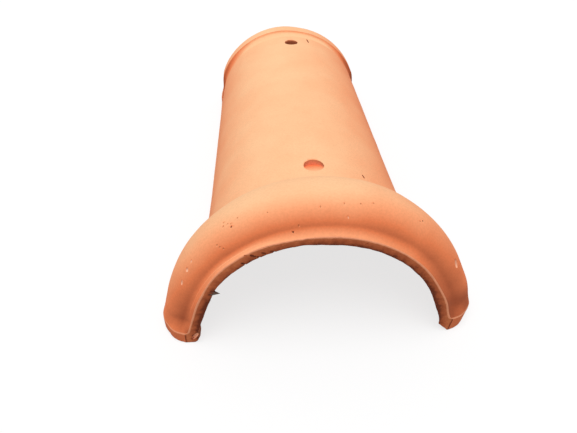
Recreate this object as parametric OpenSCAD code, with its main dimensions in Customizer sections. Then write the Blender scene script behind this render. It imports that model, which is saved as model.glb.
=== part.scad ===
// Half-round clay ridge tile, pressed and fired as one piece.
// It lies on its two long feet: X across, Y along the ridge with the collar at -Y, Z up.
// The collar's lip hooks over the tail of the next tile, and its hollow bead houses that tile's rim.

/* [Barrel] */
// Overall length along the ridge
tile_len = 400; // [340:1:460]
// Outer radius of the barrel, run on to the front end
barrel_r = 87.7; // [80:0.1:95]
// How much smaller the barrel's radius is at the tail than at the front end
barrel_taper = 2.8; // [0.5:0.1:4]
// Thickness of the clay wall
wall = 9; // [7.5:0.5:11]

/* [Collar] */
// Gap between the lip and the tail that it hooks over
lip_clearance = 1.2; // [0.5:0.1:3]
// Thickness of the lip's end face
lip_edge = 5.4; // [4:0.1:7]
// Room between the hollow of the bead and the rim that it houses
rim_room = 13.8; // [10:0.1:16]
// Radius of the bead's steep front
bead_front_r = 19.2; // [17:0.1:22]
// Radius of the bead's long back slope
bead_back_r = 45; // [38:1:48]
// Radius of the hollow curve that turns the bead out into the lip
flare_r = 6; // [4:0.5:8]
// Slope of the lip where it meets its end face, in degrees
flare_slope = 25; // [15:1:35]
// Radius of the hollow curve between the bead and the barrel
neck_r = 28; // [18:1:32]

/* [Tail rim] */
// Height of the rim above the barrel at the tail
rim_rise = 4.1; // [2:0.1:5]
// Width of the rim's flat band
rim_w = 17; // [10:0.5:24]
// Radius of the hollow curve in front of the rim
rim_fillet = 6; // [5.5:0.5:10]
// Rounding of the rim's tail edge
rim_round = 2.5; // [1:0.5:4]

/* [Feet] */
// Depth of the straight feet below the centre of the arch
foot_drop = 6.5; // [3:0.5:12]
// Height of the parting line above the centre of the arch
parting_h = 3.5; // [2:0.5:8]
// How far the parting line stands out from the moulded face
parting_out = 2.2; // [0.5:0.1:2.8]

/* [Fixing holes] */
// Sideways offset of both holes from the crown line
hole_shift = 2.3; // [-5:0.1:5]
// Diameter of the nail hole
nail_hole_d = 14; // [5:0.5:16]
// Distance of the nail hole from the tail
nail_from_tail = 45.5; // [35:0.5:60]
// Diameter of the blind mark behind the collar
mark_d = 15.5; // [8:0.5:18]
// Distance of the blind mark from the front end
mark_from_front = 87.5; // [87:0.5:120]
// Depth of the blind mark at its far side
mark_deep = 4.5; // [2:0.5:7]

/* [Hidden] */
$fn = 160;
clay = "#e2925f";
// Slope of the barrel's side, and the length of its normal for each unit of radius
slope = barrel_taper / tile_len;
normal = sqrt(1 + slope * slope);
// Radii that follow from the fit of one tile over the next
tail_r = barrel_r - barrel_taper;
rim_r = tail_r + rim_rise;
lip_in = tail_r + lip_clearance;
lip_out = lip_in + lip_edge;
crest_r = rim_r + rim_room + wall;
// Height of the arch's centre above the floor
axis_h = foot_drop;
// Start of the rim's flat band, measured from the front end
rim_from = tile_len - rim_w;
// Reach of the cuts beyond the faces that they go through
over = 1;
// Breadth by which neighbouring rounds cross, so that they meet in one clean line
hair = 0.01;

// Outer radius of the barrel at a distance from the front end
function barrel_at(from_front) = barrel_r - slope * from_front;

// Run along the barrel from a point to a round of radius r, whose centre is rise above that point
// on a line that climbs by the given slope
function run(rise, climb, r) =
    (sqrt(r * r * (1 + climb * climb) - rise * rise) - rise * climb) / (1 + climb * climb);

// Centres of the profile's rounds, as [radius, distance from the front end]
flare_c = [lip_out + flare_r * cos(flare_slope), -flare_r * sin(flare_slope)];
front_r = crest_r - bead_front_r;
crest_at = flare_c.y + sqrt(pow(bead_front_r + flare_r, 2) - pow(front_r - flare_c.x, 2));
front_c = [front_r, crest_at];
back_c = [crest_r - bead_back_r, crest_at];
neck_rise = barrel_at(crest_at) + neck_r * normal - back_c.x;
neck_at = crest_at + run(neck_rise, -slope, bead_back_r + neck_r);
neck_c = [barrel_at(neck_at) + neck_r * normal, neck_at];
rim_toe = rim_from - run(barrel_at(rim_from) + rim_fillet * normal - rim_r, slope, rim_fillet);
rim_c = [barrel_at(rim_toe) + rim_fillet * normal, rim_toe];
// Where the line through the flare's and the front's centres crosses the front end
flare_x = flare_c.x + (front_c.x - flare_c.x) * -flare_c.y / (front_c.y - flare_c.y);

// Plain barrel from the crest of the bead to the tail, from the axis out to its face grown by grow
module barrel_fill(grow) {
    far = tile_len + (grow < 0 ? over : 0);
    polygon([
        [0, crest_at],
        [barrel_at(crest_at) + grow * normal, crest_at],
        [barrel_at(far) + grow * normal, far],
        [0, far]
    ]);
}

// Front quarter of the bead
module bead_front_fill(grow) {
    reach = bead_front_r + grow;
    intersection() {
        translate(front_c) circle(reach);
        translate([0, crest_at - reach]) square([crest_r + grow, reach]);
    }
    translate([0, crest_at - reach]) square([front_c.x, reach]);
}

// Long back of the bead, down to where the neck takes over
module bead_back_fill(grow) {
    reach = bead_back_r + grow;
    intersection() {
        translate(back_c) circle(reach);
        translate([back_c.x, crest_at]) square(reach);
    }
}

// Hollow curve between the bead and the barrel
module neck_fill(grow) {
    difference() {
        polygon([[0, crest_at], back_c, neck_c, [0, neck_c.y - neck_c.x * slope]]);
        translate(neck_c) circle(neck_r - grow + hair);
    }
}

// Hollow curve that turns the bead's front out into the lip
module flare_fill(grow) {
    difference() {
        polygon([[0, 0], [flare_x, 0], front_c, [0, crest_at]]);
        translate(flare_c) circle(flare_r - grow + hair);
    }
}

// Raised rim of the tail with its hollow front and rounded tail edge
module rim_fill(grow) {
    edge = [rim_r + grow - rim_round, tile_len - rim_round];
    difference() {
        union() {
            translate([0, rim_from - grow]) square([rim_r + grow, rim_w + grow]);
            polygon([[0, rim_toe], rim_c, [rim_r, rim_from], [0, rim_from]]);
        }
        translate(rim_c) circle(rim_fillet - grow + hair);
        difference() {
            translate(edge) square(rim_round + over);
            translate(edge) circle(rim_round + hair);
        }
    }
}

// Everything from the axis out to the moulded face, grown by grow
module outside(grow) {
    barrel_fill(grow);
    bead_front_fill(grow);
    bead_back_fill(grow);
    neck_fill(grow);
    flare_fill(grow);
    rim_fill(grow);
}

// Everything inside the clay: the barrel's tunnel, the hollow of the bead and the mouth of the lip
module inside() {
    barrel_fill(-wall);
    bead_front_fill(-wall);
    bead_back_fill(-wall);
    neck_fill(-wall);
    translate([0, -over]) square([lip_in, crest_at + over]);
}

// Section of the clay, with the radius across and the distance from the front end upwards
module section() {
    difference() {
        outside(0);
        inside();
    }
}

// The arch: half a turn of the section about the ridge line
module arch() {
    rotate([90, 0, 0])
        rotate_extrude(angle = 180)
            translate([0, tile_len / 2]) mirror([0, 1]) section();
}

// A plan drawn for the right foot, set out on both sides
module both_feet() {
    for (side = [0, 1])
        mirror([side, 0, 0])
            translate([0, -tile_len / 2, -foot_drop]) children();
}

// Straight feet that carry the arch down to the floor
module feet() {
    both_feet()
        linear_extrude(foot_drop) section();
}

// Trimmed edge of the feet, which stands out a little up to the parting line
module trimmed_edge() {
    both_feet()
        linear_extrude(foot_drop + parting_h)
            difference() {
                outside(parting_out);
                outside(-wall / 2);
                translate([0, -over]) square([lip_out - lip_edge / 2, crest_at]);
            }
}

// Nail hole through the crown near the tail
module nail_hole() {
    translate([hole_shift, tile_len / 2 - nail_from_tail, tail_r - wall / 2])
        cylinder(d = nail_hole_d, h = 4 * wall, center = true);
}

// Blind mark behind the collar: round, with a floor that ramps down to its far side
module blind_mark() {
    floor_tilt = atan(mark_deep / mark_d);
    translate([hole_shift, mark_from_front - tile_len / 2, barrel_at(mark_from_front)])
        intersection() {
            cylinder(d = mark_d, h = 4 * mark_deep, center = true);
            translate([0, -mark_d / 2, 0])
                rotate([-floor_tilt, 0, 0])
                    translate([-mark_d, -mark_d, 0]) cube([2 * mark_d, 4 * mark_d, 4 * mark_deep]);
        }
}

module ridge_tile() {
    color(clay)
        translate([0, 0, axis_h])
            difference() {
                union() {
                    arch();
                    feet();
                    trimmed_edge();
                }
                nail_hole();
                blind_mark();
            }
}

ridge_tile();
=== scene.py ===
import math

import bpy
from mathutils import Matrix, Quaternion, Vector


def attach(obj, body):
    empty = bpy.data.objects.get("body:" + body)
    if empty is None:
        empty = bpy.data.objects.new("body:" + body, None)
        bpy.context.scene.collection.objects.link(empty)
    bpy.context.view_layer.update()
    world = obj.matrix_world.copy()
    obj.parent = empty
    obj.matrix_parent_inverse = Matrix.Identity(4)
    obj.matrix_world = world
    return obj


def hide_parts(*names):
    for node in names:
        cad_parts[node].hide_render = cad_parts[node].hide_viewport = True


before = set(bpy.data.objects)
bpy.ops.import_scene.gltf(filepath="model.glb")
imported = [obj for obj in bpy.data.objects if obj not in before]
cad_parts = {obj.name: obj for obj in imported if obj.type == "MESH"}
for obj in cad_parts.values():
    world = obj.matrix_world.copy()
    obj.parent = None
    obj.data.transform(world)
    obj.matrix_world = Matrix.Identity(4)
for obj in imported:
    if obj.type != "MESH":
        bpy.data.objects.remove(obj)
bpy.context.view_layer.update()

MM = 0.001

# Section of the tile in millimetres: r from the ridge line, a from the front end of the collar
TILE_LEN = 400.0
AXIS_H = 6.5
BARREL_R, BARREL_TAPER = 87.7, 2.8
WALL = 9.0
LIP_IN, LIP_OUT = 86.1, 91.5
CREST_R = 111.8
HOLLOW_R = CREST_R - WALL
FLARE_R, FLARE_SLOPE = 9.5, math.radians(28)
FRONT_R, BACK_R, NECK_R = 18.8, 45.0, 28.0
RIM_R, RIM_W, RIM_FILLET, RIM_ROUND = 89.0, 17.0, 6.0, 2.5

# Feet: the moulded face flares out to a crisp parting line above a fettled band
PARTING_TURN = math.radians(2)
PARTING_OUT, CORNER_OUT, CORNER_FORWARD = 2.2, 4.6, 4.0
CORNER_R = 2.4
FLARE_TALL, FLARE_CURVE = 12.0, 1.8
FOOT_ROUND, FOOT_BACK = 2.0, 0.7

# Holes on the crown: the nail hole goes through, the mark near the collar is blind
HOLE_X = 2.3
NAIL_A, NAIL_D = 354.5, 14.0
MARK_A, MARK_D, MARK_DEEP = 87.5, 15.5, 4.5

# Small rounds of the edges, and the angles past which an edge is bevelled or stays crisp
BORDER_ROUND, EDGE_ROUND = 0.45, 0.35
BEVELLED_ANGLE, CRISP_ANGLE = math.radians(42), math.radians(35)


def barrel_at(a):
    """Outer radius of the barrel at a distance from the front end."""
    return BARREL_R - BARREL_TAPER / TILE_LEN * a


def centres():
    """Centres of the section's rounds, as (r, a)."""
    flare = Vector((LIP_OUT + FLARE_R * math.cos(FLARE_SLOPE), -FLARE_R * math.sin(FLARE_SLOPE)))
    front_r = CREST_R - FRONT_R
    crest = flare.y + math.sqrt((FRONT_R + FLARE_R) ** 2 - (front_r - flare.x) ** 2)
    front = Vector((front_r, crest))
    back = Vector((CREST_R - BACK_R, crest))
    # The neck's round touches the back of the bead and the sloping barrel, found from a first guess
    neck_a = crest + 53.0
    for _ in range(20):
        rise_r = barrel_at(neck_a) + NECK_R - back.x
        neck_a = crest + math.sqrt((BACK_R + NECK_R) ** 2 - rise_r ** 2)
    neck = Vector((barrel_at(neck_a) + NECK_R, neck_a))
    rim_from = TILE_LEN - RIM_W
    rise_r = barrel_at(rim_from) + RIM_FILLET - RIM_R
    toe = rim_from - math.sqrt(RIM_FILLET ** 2 - rise_r ** 2)
    rim = Vector((barrel_at(toe) + RIM_FILLET, toe))
    return flare, front, back, neck, rim


FLARE_C, FRONT_C, BACK_C, NECK_C, RIM_C = centres()
CREST_A = FRONT_C.y


def on_line(start, end, reach):
    """Point at a distance from start towards end."""
    return start + (end - start).normalized() * reach


# Where the lip's hollow curve meets the front of the bead
FLARE_END = on_line(FLARE_C, FRONT_C, FLARE_R)


def outer_r(a):
    """Radius of the moulded face at a distance from the front end."""
    if a < FLARE_END.y:
        return FLARE_C.x - math.sqrt(FLARE_R ** 2 - (a - FLARE_C.y) ** 2)
    if a < CREST_A:
        return FRONT_C.x + math.sqrt(FRONT_R ** 2 - (a - CREST_A) ** 2)
    if a < on_line(BACK_C, NECK_C, BACK_R).y:
        return BACK_C.x + math.sqrt(BACK_R ** 2 - (a - CREST_A) ** 2)
    if a < NECK_C.y:
        return NECK_C.x - math.sqrt(NECK_R ** 2 - (a - NECK_C.y) ** 2)
    if a > TILE_LEN - RIM_W:
        return RIM_R
    return barrel_at(a)


def in_tile(r, a, turn=90.0):
    """Point of the tile in metres, turn degrees from the crown towards the right foot."""
    t = math.radians(turn)
    return Vector((r * math.sin(t), a - TILE_LEN / 2, AXIS_H + r * math.cos(t))) * MM


def front_distance(vertex):
    """Distance of a vertex from the front end in millimetres."""
    return vertex.co.y / MM + TILE_LEN / 2


def height(vertex):
    """Height of a vertex over the floor in millimetres."""
    return vertex.co.z / MM


def radius_of(vertex):
    """Distance of a vertex from the ridge line in millimetres, level with it in the feet."""
    return math.hypot(vertex.co.x, max(vertex.co.z - AXIS_H * MM, 0.0)) / MM


def turn_of(vertex):
    """Degrees from the crown to a vertex, towards the right foot."""
    return math.degrees(math.atan2(vertex.co.x, vertex.co.z - AXIS_H * MM))


def left(vertex):
    """Whether a vertex is left of the ridge line."""
    return vertex.co.x < 0


def right(vertex):
    """Whether a vertex is right of the ridge line."""
    return vertex.co.x > 0


def ease(share):
    """Smooth step from 0 to 1."""
    share = min(max(share, 0.0), 1.0)
    return share * share * (3 - 2 * share)


def rise(value, start, over):
    """Weight that eases from 0 at start to 1 further on."""
    return ease((value - start) / over)


def band(value, first, last, soft):
    """Weight that is 1 from first to last and eases to 0 over soft outside."""
    return ease((value - first) / soft + 1) * ease((last - value) / soft + 1)


def low(vertex, top, reach):
    """Weight that grows from 0 at a height to 1 at reach millimetres below it."""
    return ease((top - height(vertex)) / reach)


def select(mesh_object, wanted, kind="verts"):
    """In edit mode, selects only the vertices, edges or faces that wanted() accepts."""
    bpy.ops.object.mode_set(mode="OBJECT")
    mesh = mesh_object.data
    for part in (mesh.vertices, mesh.edges, mesh.polygons):
        part.foreach_set("select", [False] * len(part))
    parts = {"verts": mesh.vertices, "edges": mesh.edges, "faces": mesh.polygons}[kind]
    parts.foreach_set("select", [bool(wanted(part)) for part in parts])
    bpy.ops.object.mode_set(mode="EDIT")
    bpy.ops.mesh.select_mode(type={"verts": "VERT", "edges": "EDGE", "faces": "FACE"}[kind])


def apply_modifier(piece, kind, **settings):
    """Adds a modifier with its settings and applies it."""
    modifier = piece.modifiers.new(kind.title(), kind)
    for name, value in settings.items():
        setattr(modifier, name, value)
    bpy.ops.object.mode_set(mode="OBJECT")
    bpy.ops.object.select_all(action="DESELECT")
    piece.select_set(True)
    bpy.context.view_layer.objects.active = piece
    bpy.ops.object.modifier_apply(modifier=modifier.name)


def weigh(piece, name, weight):
    """Vertex group whose weights come from a function of the vertex."""
    group = piece.vertex_groups.new(name=name)
    for vertex in piece.data.vertices:
        value = weight(vertex)
        if value > 0:
            group.add([vertex.index], min(value, 1.0), "REPLACE")
    return group.name


def has(piece, name):
    """Test for a vertex that belongs to the named group."""
    index = piece.vertex_groups[name].index
    return lambda vertex: any(g.group == index and g.weight > 0.5 for g in vertex.groups)


def clouds(name, size, depth):
    """Cloud texture for relief, with lumps of about the given size in millimetres."""
    made = bpy.data.textures.new(name, "CLOUDS")
    made.noise_scale = size * MM
    made.noise_depth = depth
    return made


def push(piece, name, weight, reach, direction="NORMAL", lumps=None):
    """Moves the weighed vertices by reach millimetres, evenly or by a cloud texture's lumps."""
    group = weigh(piece, name, weight)
    settings = {"direction": direction, "strength": reach * MM, "vertex_group": group}
    if lumps:
        settings.update(texture=lumps, texture_coords="LOCAL", mid_level=0.5)
    else:
        settings["mid_level"] = 0.0
    apply_modifier(piece, "DISPLACE", **settings)


def push_out(piece, name, weight, reach):
    """Moves the weighed vertices away from the ridge line by reach millimetres, or towards it."""
    def across(v):
        return math.sin(math.radians(turn_of(v)))

    def upward(v):
        return math.cos(math.radians(turn_of(v)))

    push(piece, name + " right", lambda v: right(v) and weight(v) * across(v), reach, "X")
    push(piece, name + " left", lambda v: left(v) and weight(v) * -across(v), -reach, "X")
    push(piece, name + " up", lambda v: weight(v) * upward(v), reach, "Z")


def level(piece, axis, place, wanted):
    """Brings the chosen vertices to one place along an axis."""
    select(piece, wanted)
    flat, centre = [1.0, 1.0, 1.0], [0.0, 0.0, 0.0]
    flat[axis], centre[axis] = 0.0, place
    bpy.ops.transform.resize(value=flat, center_override=centre)
    bpy.ops.object.mode_set(mode="OBJECT")


def finishes_at(piece):
    """Set of the finishes that meet at each vertex."""
    found = [set() for _ in piece.data.vertices]
    for face in piece.data.polygons:
        for i in face.vertices:
            found[i].add(face.material_index)
    return found


def linear(colour):
    """sRGB hex value as a linear colour."""
    parts = [int(colour[i:i + 2], 16) / 255 for i in (1, 3, 5)]
    return [c / 12.92 if c <= 0.04045 else ((c + 0.055) / 1.055) ** 2.4 for c in parts] + [1.0]


def per_mm(size):
    """Texture scale whose features are about the given size in millimetres."""
    return 1 / (size * MM)


def put(tree, kind, inputs=None, **settings):
    """Adds a node with its settings; inputs are values or other nodes' outputs."""
    made = tree.nodes.new("ShaderNode" + kind)
    for name, value in settings.items():
        setattr(made, name, value)
    for socket, value in (inputs or {}).items():
        if isinstance(value, bpy.types.NodeSocket):
            tree.links.new(value, made.inputs[socket])
        else:
            made.inputs[socket].default_value = value
    return made


# Colour of the clay where an edge is rubbed, which also paints a highlight along the crisp edges
RUBBED_AND_HIGHLIT = "#ffae84"


def fired_clay(name, colours, roughness, grain_mm, bump_mm, cloud_mm=34, cloud_share=0.05):
    """Unglazed fired clay: matte, gritty, worn at edges, with colours that run from painted shade on steep
    faces to painted light on open ones, and a painted highlight on the worn edges.
    """
    material = bpy.data.materials.new(name)
    material.use_nodes = True
    tree = material.node_tree
    shader = tree.nodes["Principled BSDF"]
    place = put(tree, "TexCoord").outputs["Object"]
    # Real grit is finer than half a millimetre, so it is drawn at grain_mm, coarse enough to show
    cloud = put(tree, "TexNoise", {"Vector": place, "Scale": per_mm(cloud_mm), "Detail": 3.0}).outputs[0]
    grain = put(tree, "TexNoise", {"Vector": place, "Scale": per_mm(grain_mm), "Detail": 3.0}).outputs[0]
    # The first attribute holds painted light and shade: it sets each face's place on the colour ramp, which
    # mostly runs from painted shade to painted light. The second holds the wear of the edges, which also
    # paints a highlight there.
    painted_light = put(tree, "Attribute", attribute_name="painted_light").outputs["Fac"]
    worn = put(tree, "Attribute", attribute_name="worn").outputs["Fac"]
    sway = put(tree, "MapRange", {
        "Value": cloud, "From Min": 0.3, "From Max": 0.7, "To Min": -cloud_share, "To Max": cloud_share
    }).outputs[0]
    share = put(tree, "Math", {0: painted_light, 1: sway}, operation="ADD").outputs[0]
    body = put(tree, "ValToRGB", {0: share})
    stops = body.color_ramp.elements
    for step, colour in enumerate(colours):
        stop = stops[step] if step in (0, 1) else stops.new(1.0)
        stop.position = step / (len(colours) - 1)
        stop.color = linear(colour)
    # Rubbed edges turn pale: partly wear of the clay, partly a painted highlight along the crisp edges
    rubbed_and_highlit = put(tree, "Mix", {0: worn, 6: body.outputs[0], 7: linear(RUBBED_AND_HIGHLIT)}, data_type="RGBA").outputs[2]
    grit = put(tree, "MapRange", {
        "Value": grain, "From Min": 0.35, "From Max": 0.65, "To Min": 0.95, "To Max": 1.03
    }).outputs[0]
    colour = put(tree, "VectorMath", {0: rubbed_and_highlit, "Scale": grit}, operation="SCALE").outputs[0]
    bump = put(tree, "Bump", {"Height": grain, "Strength": 0.6, "Distance": bump_mm * MM}).outputs[0]
    tree.links.new(colour, shader.inputs["Base Color"])
    tree.links.new(bump, shader.inputs["Normal"])
    shader.inputs["Roughness"].default_value = roughness
    shader.inputs["IOR"].default_value = 1.5
    shader.inputs["Specular IOR Level"].default_value = 0.25
    return material


# Pressed skin: smooth; painted peach where it lies open to the painted light and deep orange where it is
# steep and painted in shade
pressed = fired_clay(
    "pressed fired clay", ("#b05834", "#f28553", "#fda877", "#fec898"),
    roughness=0.88, grain_mm=1.4, bump_mm=0.06
)
# Wire-cut clay: torn by the wire, so coarse and reddish; darker than the skin mostly as painted shade on
# the cut faces, partly as its own colour
wire_cut = fired_clay(
    "wire-cut fired clay", ("#6e3018", "#a8542f", "#bc643c", "#cc7448"),
    roughness=0.95, grain_mm=1.6, bump_mm=0.9, cloud_mm=5, cloud_share=0.24
)
# Inner clay: pressed against a sanded core, so duller than the skin, and darker as painted shade inside the
# arch and the nail hole
cored = fired_clay(
    "core-pressed fired clay", ("#a85434", "#bc6843", "#d07c54"),
    roughness=0.93, grain_mm=1.8, bump_mm=0.3, cloud_mm=26, cloud_share=0.45
)
# Fettled clay: smoothed with a knife along the parting line, so brighter than the wire cut
fettled = fired_clay(
    "fettled fired clay", ("#d87448", "#ff9868"),
    roughness=0.92, grain_mm=1.6, bump_mm=0.5, cloud_mm=6, cloud_share=0.12
)
# Burr of the cut: a thin shred that the kiln turned grey
shred = fired_clay(
    "grey burr of fired clay", ("#6c564a", "#94786a"), roughness=0.95, grain_mm=1.2, bump_mm=0.2
)
# Chipped clay: fresh and pale
chipped = fired_clay(
    "chipped fired clay", ("#f0a884", "#f8c4a4"), roughness=0.95, grain_mm=1.2, bump_mm=0.3
)
# Wall of the blind mark: painted shade, dark at its top edge and redder at its foot
shaded_mark_wall = fired_clay(
    "fired clay of the mark wall with painted shade", ("#ffb898", "#f8a884", "#c88c6a", "#a06848"),
    roughness=0.9, grain_mm=1.4, bump_mm=0.1
)
# Dark pit: much darker than the skin, painted shade in the small pits and nicks
shaded_pit = fired_clay(
    "dark pit in fired clay with painted shade", ("#7c3820", "#985030"), roughness=0.95, grain_mm=1.2, bump_mm=0.2
)
# Shallow pit: a little darker than the skin round it, as painted shade in the pit
shallow = fired_clay(
    "shallow pit in fired clay", ("#b8683f", "#e89a6c"), roughness=0.95, grain_mm=1.2, bump_mm=0.2
)

# Order of the finishes on the tile
FINISHES = (pressed, wire_cut, cored, fettled, shred)
SKIN, TRIMMED, INNER, FETTLED, BURR = range(5)


def start_mesh(name):
    """New mesh object at the origin, in edit mode, drawn down to one vertex."""
    bpy.ops.object.select_all(action="DESELECT")
    bpy.ops.mesh.primitive_plane_add(size=1.0)
    piece = bpy.context.object
    piece.name = piece.data.name = name
    for finish in FINISHES:
        piece.data.materials.append(finish)
    bpy.ops.object.mode_set(mode="EDIT")
    bpy.ops.mesh.merge(type="CENTER")
    return piece


# Pen that draws the section of the tile in the plan of its right foot
pen = Vector((0.0, 0.0))


def pen_at(point):
    """Moves the single vertex to the section's first point."""
    pen.xy = point
    bpy.ops.transform.translate(value=in_tile(*pen))


def line_to(point, steps):
    """Draws a straight stretch in equal steps."""
    point = Vector(point)
    step = (point - pen) / steps * MM
    for _ in range(steps):
        bpy.ops.mesh.extrude_region_move(TRANSFORM_OT_translate={"value": (step.x, step.y, 0.0)})
    pen.xy = point


def arc_to(centre, point, steps):
    """Draws the shorter arc about a centre."""
    point = Vector(point)
    start, end = pen - centre, point - centre
    turn = math.atan2(end.y, end.x) - math.atan2(start.y, start.x)
    turn = (turn + math.pi) % (2 * math.pi) - math.pi
    bpy.ops.mesh.spin(steps=steps, angle=-turn, center=in_tile(*centre), axis=(0, 0, 1))
    pen.xy = point


def drawn_so_far(piece):
    """Number of vertices that the pen has drawn."""
    piece.update_from_editmode()
    return len(piece.data.vertices)


def draw_section(piece):
    """Closed outline of the clay: moulded face, tail end, inside and lip end."""
    hollow = FRONT_R - WALL
    closing_edge = 0.9
    pen_at((LIP_OUT, 0.0))
    arc_to(FLARE_C, FLARE_END, steps=12)
    arc_to(FRONT_C, (CREST_R, CREST_A), steps=26)
    arc_to(BACK_C, on_line(BACK_C, NECK_C, BACK_R), steps=26)
    arc_to(NECK_C, NECK_C - Vector((NECK_R, 0.0)), steps=14)
    line_to(RIM_C - Vector((RIM_FILLET, 0.0)), steps=92)
    arc_to(RIM_C, (RIM_R, TILE_LEN - RIM_W), steps=7)
    line_to((RIM_R, TILE_LEN - RIM_ROUND), steps=8)
    arc_to(Vector((RIM_R - RIM_ROUND, TILE_LEN - RIM_ROUND)), (RIM_R - RIM_ROUND, TILE_LEN), steps=4)
    ends = [drawn_so_far(piece)]
    line_to((barrel_at(TILE_LEN) - WALL, TILE_LEN), steps=5)
    ends.append(drawn_so_far(piece))
    line_to(NECK_C - Vector((NECK_R + WALL, 0.0)), steps=46)
    arc_to(NECK_C, on_line(BACK_C, NECK_C, BACK_R - WALL), steps=12)
    arc_to(BACK_C, (HOLLOW_R, CREST_A), steps=18)
    arc_to(FRONT_C, FRONT_C - Vector((0.0, hollow)), steps=10)
    line_to((LIP_IN, CREST_A - hollow), steps=4)
    line_to((LIP_IN, 0.0), steps=7)
    ends.append(drawn_so_far(piece))
    line_to((LIP_OUT - closing_edge, 0.0), steps=5)
    ends.append(drawn_so_far(piece))
    select(piece, lambda v: v.index in (0, ends[-1] - 1))
    bpy.ops.mesh.edge_face_add()
    bpy.ops.object.mode_set(mode="OBJECT")
    since = 0
    for name, until in zip(("moulded face", "tail end", "inside", "lip end"), ends):
        group = piece.vertex_groups.new(name=name)
        group.add(list(range(max(since - 1, 0), until)), 1.0, "REPLACE")
        since = until
    group.add([0], 1.0, "REPLACE")
    bpy.ops.object.mode_set(mode="EDIT")


def raise_arch():
    """Half a turn of the section about the ridge line, with finer steps near both feet."""
    bpy.ops.mesh.select_all(action="SELECT")
    for turn, steps in ((10, 20), (160, 170), (10, 20)):
        bpy.ops.mesh.spin(
            steps=steps, angle=math.radians(turn), center=(0, 0, AXIS_H * MM), axis=(0, 1, 0)
        )
    bpy.ops.object.mode_set(mode="OBJECT")


def above_parting(point):
    """Height of a point over the parting line in millimetres."""
    return point.z / MM - AXIS_H - abs(point.x) / MM * math.tan(PARTING_TURN)


def part_feet(piece):
    """Flares the moulded face out to the parting line, with a rounded corner at the lip."""
    moulded, lip = has(piece, "moulded face"), has(piece, "lip end")
    weigh(piece, "lip flare", lambda v: moulded(v) and front_distance(v) < FLARE_END.y - 0.01)
    flare = has(piece, "lip flare")

    # The band's corner runs straight from the lip's edge to the band's front
    leaning = (FLARE_END - FRONT_C).normalized()
    front_corner = FLARE_END + leaning * CORNER_FORWARD
    edge_r = LIP_OUT + CORNER_OUT
    slow_share = (CORNER_OUT - CORNER_R) / CORNER_OUT

    def above(v):
        return max(above_parting(v.co), 0.0)

    def from_lip(v):
        return front_distance(v) / FLARE_END.y

    def foot(v):
        return (1 - min(above(v) / FLARE_TALL, 1.0)) ** FLARE_CURVE

    def corner(v):
        """Slow flare with a round turn into the parting line."""
        turn = 1 - min(above(v) / CORNER_R, 1.0)
        return slow_share * foot(v) + CORNER_R / CORNER_OUT * (1 - math.sqrt(1 - turn ** 2))

    def parting(v):
        if not moulded(v) or flare(v):
            return 0.0
        near = 1 - rise(front_distance(v), FLARE_END.y, over=7)
        return foot(v) * (PARTING_OUT + (CORNER_FORWARD - PARTING_OUT) * near) / CORNER_FORWARD

    def corner_out(v):
        if lip(v):
            return corner(v) * min((radius_of(v) - LIP_IN) / (LIP_OUT - LIP_IN), 1.0)
        if not flare(v):
            return 0.0
        aim = edge_r + (front_corner.x - edge_r) * from_lip(v)
        share = corner(v) + (foot(v) - corner(v)) * from_lip(v)
        return share * (aim - outer_r(front_distance(v))) / CORNER_OUT

    def corner_forward(v):
        return flare(v) and foot(v) * from_lip(v)

    push(piece, "parting flare", parting, CORNER_FORWARD)
    push_out(piece, "corner flare", corner_out, CORNER_OUT)
    push(piece, "corner forward", corner_forward, front_corner.y - FLARE_END.y, "Y")
    level(piece, 1, TILE_LEN / 2 * MM, lambda v: v.co.y > TILE_LEN / 2 * MM)
    level(piece, 2, AXIS_H * MM, lambda v: v.co.z < (AXIS_H + 0.1) * MM)


def stand_on_feet(piece):
    """Straight feet below the arch, closed at the floor, with their lowest edge worn round."""
    verts = piece.data.vertices
    moulded = has(piece, "moulded face")
    top_ring = 1.6
    drops = [top_ring, AXIS_H - top_ring - FOOT_ROUND]
    drops += [share * FOOT_ROUND for share in (0.5, 0.3, 0.2)]

    def along(place, side=0):
        """Test for an edge at a height, on one side or on both."""
        return lambda e: all(
            abs(verts[i].co.z - place) < 0.01 * MM and verts[i].co.x * side >= 0 for i in e.vertices
        )

    def worn_round(v):
        deep = 1 - height(v) / FOOT_ROUND
        return 1 - math.sqrt(1 - min(deep, 1.0) ** 2) if deep > 0.01 else 0.0

    def worn_side(v):
        a = front_distance(v)
        ends = ease(a / FLARE_END.y) * rise(TILE_LEN - a, 0, over=5)
        return moulded(v) and worn_round(v) * ends

    def worn_front(v):
        return worn_round(v) * max(1 - front_distance(v) / FLARE_END.y, 0.0)

    select(piece, along(AXIS_H * MM), "edges")
    for drop in drops:
        bpy.ops.mesh.extrude_region_move(TRANSFORM_OT_translate={"value": (0, 0, -drop * MM)})
    bpy.ops.mesh.select_all(action="SELECT")
    bpy.ops.mesh.normals_make_consistent(inside=False)
    bpy.ops.object.mode_set(mode="OBJECT")
    push(piece, "worn side of foot", worn_side, -FOOT_ROUND)
    push(piece, "worn front of foot", worn_front, FOOT_BACK, "Y")
    level(piece, 2, 0.0, lambda v: v.co.z < 0.1 * MM)
    for side in (-1, 1):
        select(piece, along(0.0, side), "edges")
        bpy.ops.mesh.edge_face_add()
        bpy.ops.mesh.quads_convert_to_tris(ngon_method="BEAUTY")
    bpy.ops.mesh.select_all(action="SELECT")
    bpy.ops.mesh.normals_make_consistent(inside=False)
    bpy.ops.object.mode_set(mode="OBJECT")


def sort_finishes(piece):
    """Gives the trimmed, the fettled and the inner faces their own finishes."""
    moulded, lip, tail_end = (has(piece, name) for name in ("moulded face", "lip end", "tail end"))
    verts = piece.data.vertices
    for face in piece.data.polygons:
        corners = [verts[i] for i in face.vertices]
        under = face.center.z < 0.05 * MM
        if under or all(map(lip, corners)) or all(map(tail_end, corners)):
            face.material_index = TRIMMED
        elif all(map(moulded, corners)):
            face.material_index = FETTLED if above_parting(face.center) < 0 else SKIN
        else:
            face.material_index = INNER


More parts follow.
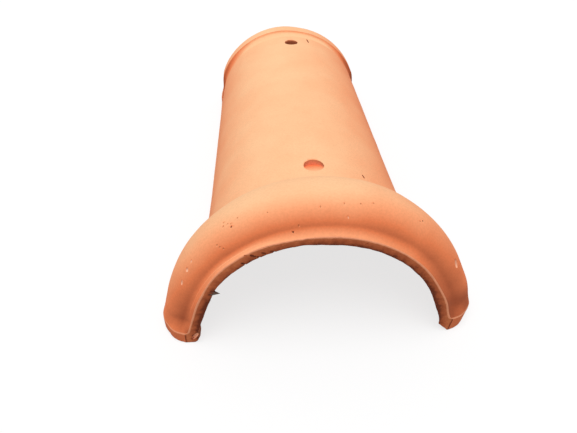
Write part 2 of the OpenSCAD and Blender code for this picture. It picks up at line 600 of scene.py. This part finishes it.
def settle_right_foot(piece, inner, outer_share):
    """The right foot bows out behind the collar, its band leans and its inner corner is worn away."""
    def bow(v):
        a = front_distance(v)
        along = band(a, 12, 85, soft=85)
        if inner(v):
            along *= max(outer_share(v), rise(a, 6, over=14))
        return right(v) and along * low(v, top=56, reach=40)

    def neck(v):
        share = 1.0 if inner(v) else 0.2
        return right(v) and band(front_distance(v), 50, 90, soft=36) * low(v, top=74, reach=34) * share

    def collar(v):
        return right(v) and band(front_distance(v), 40, 75, soft=20) * band(turn_of(v), 38, 62, soft=14)

    def crest(v):
        tall = low(v, top=46, reach=18) * rise(height(v), 0, over=8)
        return right(v) and band(front_distance(v), 14, 34, soft=10) * tall

    def lift(v):
        tall = rise(height(v), 0, over=9) * low(v, top=46, reach=30)
        return right(v) and band(front_distance(v), -5, 6, soft=24) * tall

    def lean(v):
        along = band(front_distance(v), -5, 10, soft=16)
        return right(v) and along * low(v, top=13.5, reach=13.5) * outer_share(v)

    def wear(v):
        a = front_distance(v)
        if not right(v) or a > CREST_A or not inner(v):
            return 0.0
        across = outer_share(v)
        if a >= 1:
            across = (abs(v.co.x) / MM - LIP_IN) / (HOLLOW_R - LIP_IN)
        deep = 0.28 + 0.72 * rise(a, 0, over=9)
        return deep * low(v, top=30, reach=22) * (1 - across)

    for name, weight, reach, direction in (
        ("right bow", bow, 2.8, "X"),
        ("right neck", neck, 4.0, "X"),
        ("right collar", collar, -0.9, "X"),
        ("right crest", crest, 0.8, "X"),
        ("right lift", lift, 3.3, "Z"),
        ("right lean", lean, -1.2, "X"),
        ("right inner wear", wear, 9.5, "X"),
    ):
        push(piece, name, weight, reach, direction)


def settle_left_side(piece, inner, outer_share):
    """The left foot spreads a little, its inner corner is worn, and the barrel stands in above it."""
    def wear(v):
        along = band(front_distance(v), -5, 1, soft=4)
        return left(v) and inner(v) and along * low(v, top=9, reach=8) * (1 - outer_share(v))

    def spread(v):
        return left(v) and band(front_distance(v), 4, 40, soft=40) * low(v, top=32, reach=16)

    def collar(v):
        a = front_distance(v)
        return left(v) and a > 3 and band(a, 10, 60, soft=20) * band(turn_of(v), -66, -36, soft=16)

    def flank(v):
        return left(v) and band(front_distance(v), 170, 330, soft=85) * rise(-turn_of(v), 20, over=50)

    for name, weight, reach in (
        ("left inner wear", wear, -0.8),
        ("left spread", spread, -1.0),
        ("left collar", collar, 0.8),
        ("left flank", flank, 1.2),
    ):
        push(piece, name, weight, reach, "X")


def settle_shape(piece):
    """Warps of drying and firing, the uneven cut of the lip, and the burr that it left."""
    inside, lip = has(piece, "inside"), has(piece, "lip end")
    verts = piece.data.vertices
    lip_deep, burr_deep = 12, 2.5

    def inner(v):
        return inside(v) or lip(v)

    def outer_share(v):
        """0 at the lip's inner edge, 1 past its outer one and on the moulded face."""
        if not inner(v):
            return 1.0
        return min(max((radius_of(v) - LIP_IN) / (LIP_OUT + 1 - LIP_IN), 0.0), 1.0)

    def lip_edge(first_turn, last_turn, soft):
        """Weight of the lip's inner edge along a stretch of the arch."""
        def weight(v):
            if front_distance(v) > lip_deep or not inner(v):
                return 0.0
            return (1 - outer_share(v)) * band(turn_of(v), first_turn, last_turn, soft)
        return weight

    def burr(v):
        """Weight of the thin shred that hangs from the lip's inner edge."""
        if front_distance(v) > burr_deep or not inner(v):
            return 0.0
        edge = max(1 - 3 * outer_share(v), 0.0) * (1 - front_distance(v) / burr_deep)
        return edge * band(turn_of(v), -58.4, -58.3, soft=0.9)

    def broad_lip(v):
        if front_distance(v) >= FLARE_END.y or inside(v):
            return 0.0
        along = band(turn_of(v), -44, -28, soft=20)
        return outer_share(v) * (1 - front_distance(v) / FLARE_END.y) * along

    def at_rim(v):
        return rise(front_distance(v), 372, over=9) * rise(radius_of(v), 82, over=6)

    def rim_crown(v):
        return at_rim(v) * band(turn_of(v), -52, -14, soft=26)

    def rim_ends(v):
        return at_rim(v) * rise(abs(turn_of(v)), 66, over=14)

    settle_right_foot(piece, inner, outer_share)
    settle_left_side(piece, inner, outer_share)
    push_out(piece, "lip sag left", lip_edge(-78, -64, soft=10), -2.0)
    for face in piece.data.polygons:
        if max(burr(verts[i]) for i in face.vertices) > 0.6:
            face.material_index = BURR
    push_out(piece, "lip burr", burr, -5.6)
    push_out(piece, "lip lift", lip_edge(-34, -16, soft=12), 0.2)
    push_out(piece, "lip sag right", lip_edge(4, 74, soft=14), -1.2)
    push_out(piece, "lip broad", broad_lip, 1.9)
    push_out(piece, "rim crown", rim_crown, 1.2)
    push_out(piece, "rim ends", rim_ends, -3.2)


def start_cutter(name, finish):
    """Empty mesh object in edit mode, whose faces give their finish to the faces that they cut."""
    cutter = start_mesh(name)
    bpy.ops.mesh.delete(type="VERT")
    cutter.data.materials.clear()
    cutter.data.materials.append(finish)
    return cutter


def carve(piece, cutter):
    """Cuts the closed shapes of a cutter out of the piece and removes the cutter."""
    bpy.ops.mesh.select_all(action="SELECT")
    bpy.ops.mesh.normals_make_consistent(inside=False)
    apply_modifier(
        piece, "BOOLEAN", operation="DIFFERENCE", solver="EXACT", object=cutter, material_mode="TRANSFER"
    )
    bpy.data.objects.remove(cutter)


def break_corner(piece, point, facing):
    """Breaks the inner corner off a foot at the front end, along a plane through a point."""
    facing = Vector(facing).normalized()
    box = 40.0
    cutter = start_cutter("broken corner", wire_cut)
    bpy.ops.mesh.primitive_cube_add(
        size=box * MM, location=(Vector(point) + facing * box / 2) * MM,
        rotation=facing.to_track_quat("Z", "Y").to_euler()
    )
    # Small faces, so that the break can take the torn grain
    bpy.ops.mesh.subdivide(number_cuts=24)
    carve(piece, cutter)


def roughen(piece):
    """Relief of the clay: slow waves of pressing, and the torn grain where it was trimmed."""
    finishes = finishes_at(piece)

    def clear_of_floor(v):
        return rise(height(v), 8, over=20)

    def cored_only(v):
        return INNER in finishes[v.index] and SKIN not in finishes[v.index] and clear_of_floor(v)

    def torn(v):
        if height(v) < 1.0 or not finishes[v.index] & {TRIMMED, FETTLED}:
            return 0.0
        return 1.0 if finishes[v.index] == {TRIMMED} else 0.4

    # Each relief's name, place, reach, size of its lumps in millimetres and depth of its noise
    for name, weight, reach, size, depth in (
        ("pressing waves", clear_of_floor, 0.4, 55, 1),
        ("hand marks", clear_of_floor, 0.25, 16, 1),
        ("core marks", cored_only, 0.6, 9, 2),
        ("torn grain", torn, 0.9, 3.6, 3),
    ):
        push(piece, name, weight, reach, lumps=clouds(name, size, depth))


def round_border(piece):
    """Small round along the border of the skin and the cut clay, kept as a group for its wear and its
    painted highlight.
    """
    found = {}
    for face in piece.data.polygons:
        for key in face.edge_keys:
            found.setdefault(key, set()).add(face.material_index)
    select(piece, lambda e: found[e.key] in ({SKIN, TRIMMED}, {SKIN, FETTLED}), "edges")
    bpy.ops.mesh.bevel(offset=BORDER_ROUND * MM, segments=2, affect="EDGES")
    bpy.ops.object.mode_set(mode="OBJECT")
    weigh(piece, "rubbed and highlit border", lambda v: v.select)


def drill_nail_hole(piece):
    """Round hole through the crown, with a mouth that the drill has eased."""
    cutter = start_cutter("nail hole", cored)
    under, mouth, eased = 6.0, 1.0, 1.12
    place = in_tile(barrel_at(NAIL_A) - WALL - under, NAIL_A, 0) + Vector((HOLE_X * MM, 0, 0))
    bpy.ops.mesh.primitive_circle_add(
        vertices=48, radius=NAIL_D / 2 * MM, location=place, fill_type="NGON"
    )
    for step, widen in ((under + WALL - mouth, 1.0), (mouth, eased), (under, 1.0)):
        bpy.ops.mesh.extrude_region_move(TRANSFORM_OT_translate={"value": (0, 0, step * MM)})
        bpy.ops.transform.resize(value=(widen, widen, 1), center_override=place)
    carve(piece, cutter)


def press_blind_mark(piece):
    """Round recess behind the collar, whose floor ramps down to its far side."""
    cutter = start_cutter("blind mark", pressed)
    tilt = math.atan(MARK_DEEP / MARK_D)
    sunk, tall = 0.2, 20.0
    middle_r = barrel_at(MARK_A) - MARK_DEEP / 2 - sunk
    middle = in_tile(middle_r, MARK_A, 0) + Vector((HOLE_X * MM, 0, 0))
    bpy.ops.mesh.primitive_circle_add(
        vertices=56, radius=MARK_D / 2 * MM, location=middle, rotation=(-tilt, 0, 0), fill_type="NGON"
    )
    bpy.ops.transform.resize(value=(1, 1 / math.cos(tilt), 1), center_override=middle)
    bpy.ops.mesh.extrude_region_move(TRANSFORM_OT_translate={"value": (0, 0, tall * MM)})
    cutter.data.materials.append(shaded_mark_wall)
    bpy.ops.object.mode_set(mode="OBJECT")
    for face in cutter.data.polygons:
        face.material_index = 1 if abs(face.normal.z) < 0.1 else 0
    bpy.ops.object.mode_set(mode="EDIT")
    carve(piece, cutter)


# Blemishes: radius (none on the moulded face), distance from the front end, degrees from the crown,
# length, breadth, twist, and depth as a share of the breadth
BLEMISHES = {
    shaded_pit: (
        (None, 84.9, 28.0, 4.6, 1.4, 110, 0.7), (None, 366.0, 15.5, 11.0, 1.6, 96, 0.6),
        (None, 12.6, -32.0, 1.6, 0.9, 0, 0.7), (None, 3.8, -11.5, 1.3, 1.0, 0, 0.7),
        (None, 15.8, 37.0, 1.1, 0.9, 0, 0.7), (89.6, 0, -29.8, 4.4, 1.6, 66, 0.5),
        (88.4, 0, -25.2, 3.0, 1.4, 70, 0.5), (87.2, 0, -35.5, 4.4, 1.5, 58, 0.5),
        (86.9, 0, -21.4, 3.8, 1.3, 72, 0.5), (86.8, 0, -28.0, 3.4, 1.3, 64, 0.5),
    ),
    shallow: (
        (None, 15.4, -35.0, 1.3, 0.9, 0, 0.3), (None, 17.8, -34.5, 1.2, 0.7, 0, 0.3),
        (None, 15.4, -33.0, 1.0, 0.7, 0, 0.3), (None, 14.3, -31.9, 1.0, 0.6, 0, 0.3),
        (None, 15.8, -29.0, 1.2, 0.8, 0, 0.3), (None, 12.2, -18.5, 1.0, 0.7, 0, 0.3),
        (None, 5.0, -9.0, 1.6, 0.6, 0, 0.3), (None, 10.6, -1.0, 1.6, 0.7, 0, 0.3),
        (None, 8.6, -39.9, 1.4, 0.8, 0, 0.3), (None, 7.3, -39.4, 1.2, 0.9, 0, 0.3),
        (None, 6.2, -38.5, 1.0, 0.8, 0, 0.3), (None, 12.2, 7.0, 1.1, 0.7, 0, 0.3),
        (None, 13.0, 12.5, 1.3, 0.9, 0, 0.3), (None, 14.6, 17.0, 1.2, 0.8, 0, 0.3),
        (None, 14.4, 35.8, 1.0, 0.8, 0, 0.3),
    ),
    wire_cut: (
        (92.4, 0, -32.1, 2.2, 1.2, 60, 0.5), (88.6, 0, 17.9, 2.0, 1.2, 100, 0.5),
    ),
    chipped: (
        (None, 12.0, 61.5, 7.0, 3.4, 0, 0.3), (None, 10.2, -57.0, 3.0, 2.4, 0, 0.3),
        (None, 9.0, -63.2, 4.2, 1.6, 0, 0.3), (None, 11.4, -53.0, 2.0, 1.2, 0, 0.3),
        (None, 6.6, 8.5, 1.8, 0.7, 0, 0.3), (89.7, 0, -89.4, 13.0, 3.0, -33, 0.35),
    ),
}

# Length past which a blemish is drawn with finer faces
LONG_BLEMISH = 6


def blemish(piece):
    """Carves the small pits and chips."""
    cutter = start_cutter("blemishes", next(iter(BLEMISHES)))
    for slot, (finish, spots) in enumerate(BLEMISHES.items()):
        if slot:
            cutter.data.materials.append(finish)
        cutter.active_material_index = slot
        for r, a, turn, length, breadth, twist, deep in spots:
            _, spot, normal, _ = piece.closest_point_on_mesh(in_tile(r or outer_r(a), a, turn))
            facing = normal.to_track_quat("Z", "Y") @ Quaternion((0, 0, 1), math.radians(twist))
            bpy.ops.mesh.primitive_ico_sphere_add(
                subdivisions=2 if length < LONG_BLEMISH else 4, radius=MM / 2, location=spot,
                rotation=facing.to_euler(), scale=(breadth, length, 2 * deep * breadth)
            )
            bpy.ops.object.material_slot_assign()
    carve(piece, cutter)


# Direction of the painted light: faces turned towards it, up, back and to the left, are painted paler, and
# faces turned away are painted deeper
PAINTED_LIGHT_FROM = Vector((-0.19, 0.32, 0.93)).normalized()


def store_painted_light_and_wear(piece):
    """Attributes for the finishes: painted light and shade on every face, and wear with a painted highlight
    where the skin meets a cut.
    """
    mesh = piece.data
    finishes = finishes_at(piece)
    border = has(piece, "rubbed and highlit border")
    margin, brim, end_face, rubbed_and_highlit_share = 0.3, 0.4, 1.5, 0.7

    def mark_depth(v):
        """Share of the blind mark's depth at a vertex of its floor or wall."""
        from_middle = math.hypot(v.co.x / MM - HOLE_X, front_distance(v) - MARK_A)
        if from_middle > MARK_D / 2 + margin or SKIN not in finishes[v.index]:
            return 0.0
        return max(barrel_at(MARK_A) + AXIS_H - height(v) - brim, 0.0) / MARK_DEEP

    def lip_end_painted_light(v):
        """Painted light and shade on the lip's end face: brighter towards the lip's outer edge, darker
        towards the feet and on the right.
        """
        across = (radius_of(v) - LIP_IN) / (LIP_OUT - LIP_IN)
        dark = 0.3 * low(v, top=60, reach=50) + 0.15 * rise(turn_of(v), 40, over=40)
        return 0.14 + 0.75 * across - dark

    def painted_shade(v):
        """Painted shade taken off the painted light at the feet of the collar and in the lip's flare, and
        in the hollow before the rim, where it paints the crown lighter and the sides darker.
        """
        a, turn = front_distance(v), turn_of(v)
        dark = 0.25 * low(v, top=50, reach=45) * (1 - rise(a, 25, over=30))
        if a < FLARE_END.y:
            side = rise(turn, 15, over=45) + 0.8 * band(turn, -70, -50, soft=15)
            dark += (0.06 + 0.14 * side) * (1 - a / FLARE_END.y)
        return dark + band(a, 378, 381.5, soft=2.5) * (0.62 * rise(abs(turn), 25, over=35) - 0.4)

    def painted_light_of(v):
        # Inside the arch: painted light, a little paler where a face turns towards the painted light
        if finishes[v.index] == {INNER}:
            return 0.5 + 0.2 * v.normal.dot(PAINTED_LIGHT_FROM)
        # In the blind mark: painted shade, deeper with depth on its floor; the wall's reversed ramp paints
        # its top edge dark and its foot redder
        if mark_depth(v) > 0:
            return 0.8 - 0.55 * mark_depth(v)
        # On the lip's end face: painted light and shade of its own
        if finishes[v.index] == {TRIMMED} and front_distance(v) < end_face:
            return lip_end_painted_light(v)
        # Elsewhere: painted light from the face's turn towards the painted light, less the painted shade
        return (v.normal.dot(PAINTED_LIGHT_FROM) + 0.4) / 1.4 - painted_shade(v)

    # Painted light and shade for every vertex, read by the colour ramps of the finishes
    painted_light = mesh.attributes.new("painted_light", "FLOAT", "POINT")
    painted_light.data.foreach_set("value", [painted_light_of(v) for v in mesh.vertices])
    # Wear of the border, which is also a painted highlight along the crisp edges
    worn = mesh.attributes.new("worn", "FLOAT", "POINT")
    worn.data.foreach_set("value", [rubbed_and_highlit_share if border(v) else 0.0 for v in mesh.vertices])


tile = start_mesh("ridge_tile_clay")
draw_section(tile)
raise_arch()
part_feet(tile)
stand_on_feet(tile)
sort_finishes(tile)
settle_shape(tile)
break_corner(tile, point=(89.4, -200, 7.8), facing=(-0.69, -0.3, -0.71))
break_corner(tile, point=(-87.2, -200, 4.2), facing=(0.72, -0.4, -0.6))
roughen(tile)
round_border(tile)
apply_modifier(
    tile, "BEVEL", width=EDGE_ROUND * MM, segments=2, limit_method="ANGLE", angle_limit=BEVELLED_ANGLE
)
drill_nail_hole(tile)
press_blind_mark(tile)
blemish(tile)
bpy.ops.object.shade_smooth_by_angle(angle=CRISP_ANGLE)
store_painted_light_and_wear(tile)

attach(tile, "root")
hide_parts("ridge_tile")

# The floor lies a hair below the feet, so that the two never fill the same plane
bpy.ops.object.select_all(action="DESELECT")
bpy.ops.mesh.primitive_plane_add(size=6.0, location=(0, 0, -0.1 * MM))
ground = bpy.context.object
ground.name = "floor"


def seen(tree):
    """1 for rays from the camera, mirrors and glass, 0 for the rays that light the tile."""
    path = put(tree, "LightPath").outputs
    some = put(tree, "Math", {0: path["Is Camera Ray"], 1: path["Is Glossy Ray"]}, operation="MAXIMUM")
    return put(
        tree, "Math", {0: some.outputs[0], 1: path["Is Transmission Ray"]}, operation="MAXIMUM"
    ).outputs[0]


WHITE, MID_GREY = (1.0, 1.0, 1.0, 1.0), (0.5, 0.5, 0.5, 1.0)

# Pale studio floor: white to the eye with a soft shadow, dull to the light that it throws back
paper = bpy.data.materials.new("white paper floor")
paper.use_nodes = True
tree = paper.node_tree
tree.nodes.clear()
eye = seen(tree)
tone = put(tree, "Mix", {0: eye, 6: MID_GREY, 7: WHITE}, data_type="RGBA").outputs[2]
matte = put(tree, "BsdfDiffuse", {"Color": tone}).outputs[0]
glow = put(tree, "Emission", {"Color": WHITE, "Strength": 1.0}).outputs[0]
glow_share = put(tree, "Math", {0: eye, 1: 0.75}, operation="MULTIPLY").outputs[0]
both = put(tree, "MixShader", {0: glow_share, 1: matte, 2: glow}).outputs[0]
put(tree, "OutputMaterial", {"Surface": both})
ground.data.materials.append(paper)

# Camera at the photograph's angle: it looks down on the collar from in front, a little from the left
LOOKS_DOWN, LOOKS_RIGHT = 38.99, 3.41
camera = bpy.data.objects.new("camera", bpy.data.cameras.new("camera"))
bpy.context.scene.collection.objects.link(camera)
camera.location = (-0.03572, -0.42823, 0.3005)
camera.rotation_euler = (math.radians(90 - LOOKS_DOWN), 0, math.radians(-LOOKS_RIGHT))
camera.data.sensor_width = 36
camera.data.lens = 31.01
bpy.context.scene.camera = camera

# Broad soft light from nearly overhead
key = bpy.data.objects.new("key light", bpy.data.lights.new("key light", "SUN"))
bpy.context.scene.collection.objects.link(key)
key.rotation_euler = (math.radians(12), math.radians(-6), 0)
key.data.energy = 0.58 * math.pi
key.data.angle = math.radians(50)

# Even studio light from all sides, white where it is seen
world = bpy.data.worlds.new("studio")
bpy.context.scene.world = world
world.use_nodes = True
tree = world.node_tree
level_light = put(tree, "MapRange", {"Value": seen(tree), "To Min": 0.5, "To Max": 1.0}).outputs[0]
tree.links.new(level_light, tree.nodes["Background"].inputs["Strength"])
tree.nodes["Background"].inputs["Color"].default_value = WHITE
bpy.context.scene.view_settings.view_transform = "Standard"
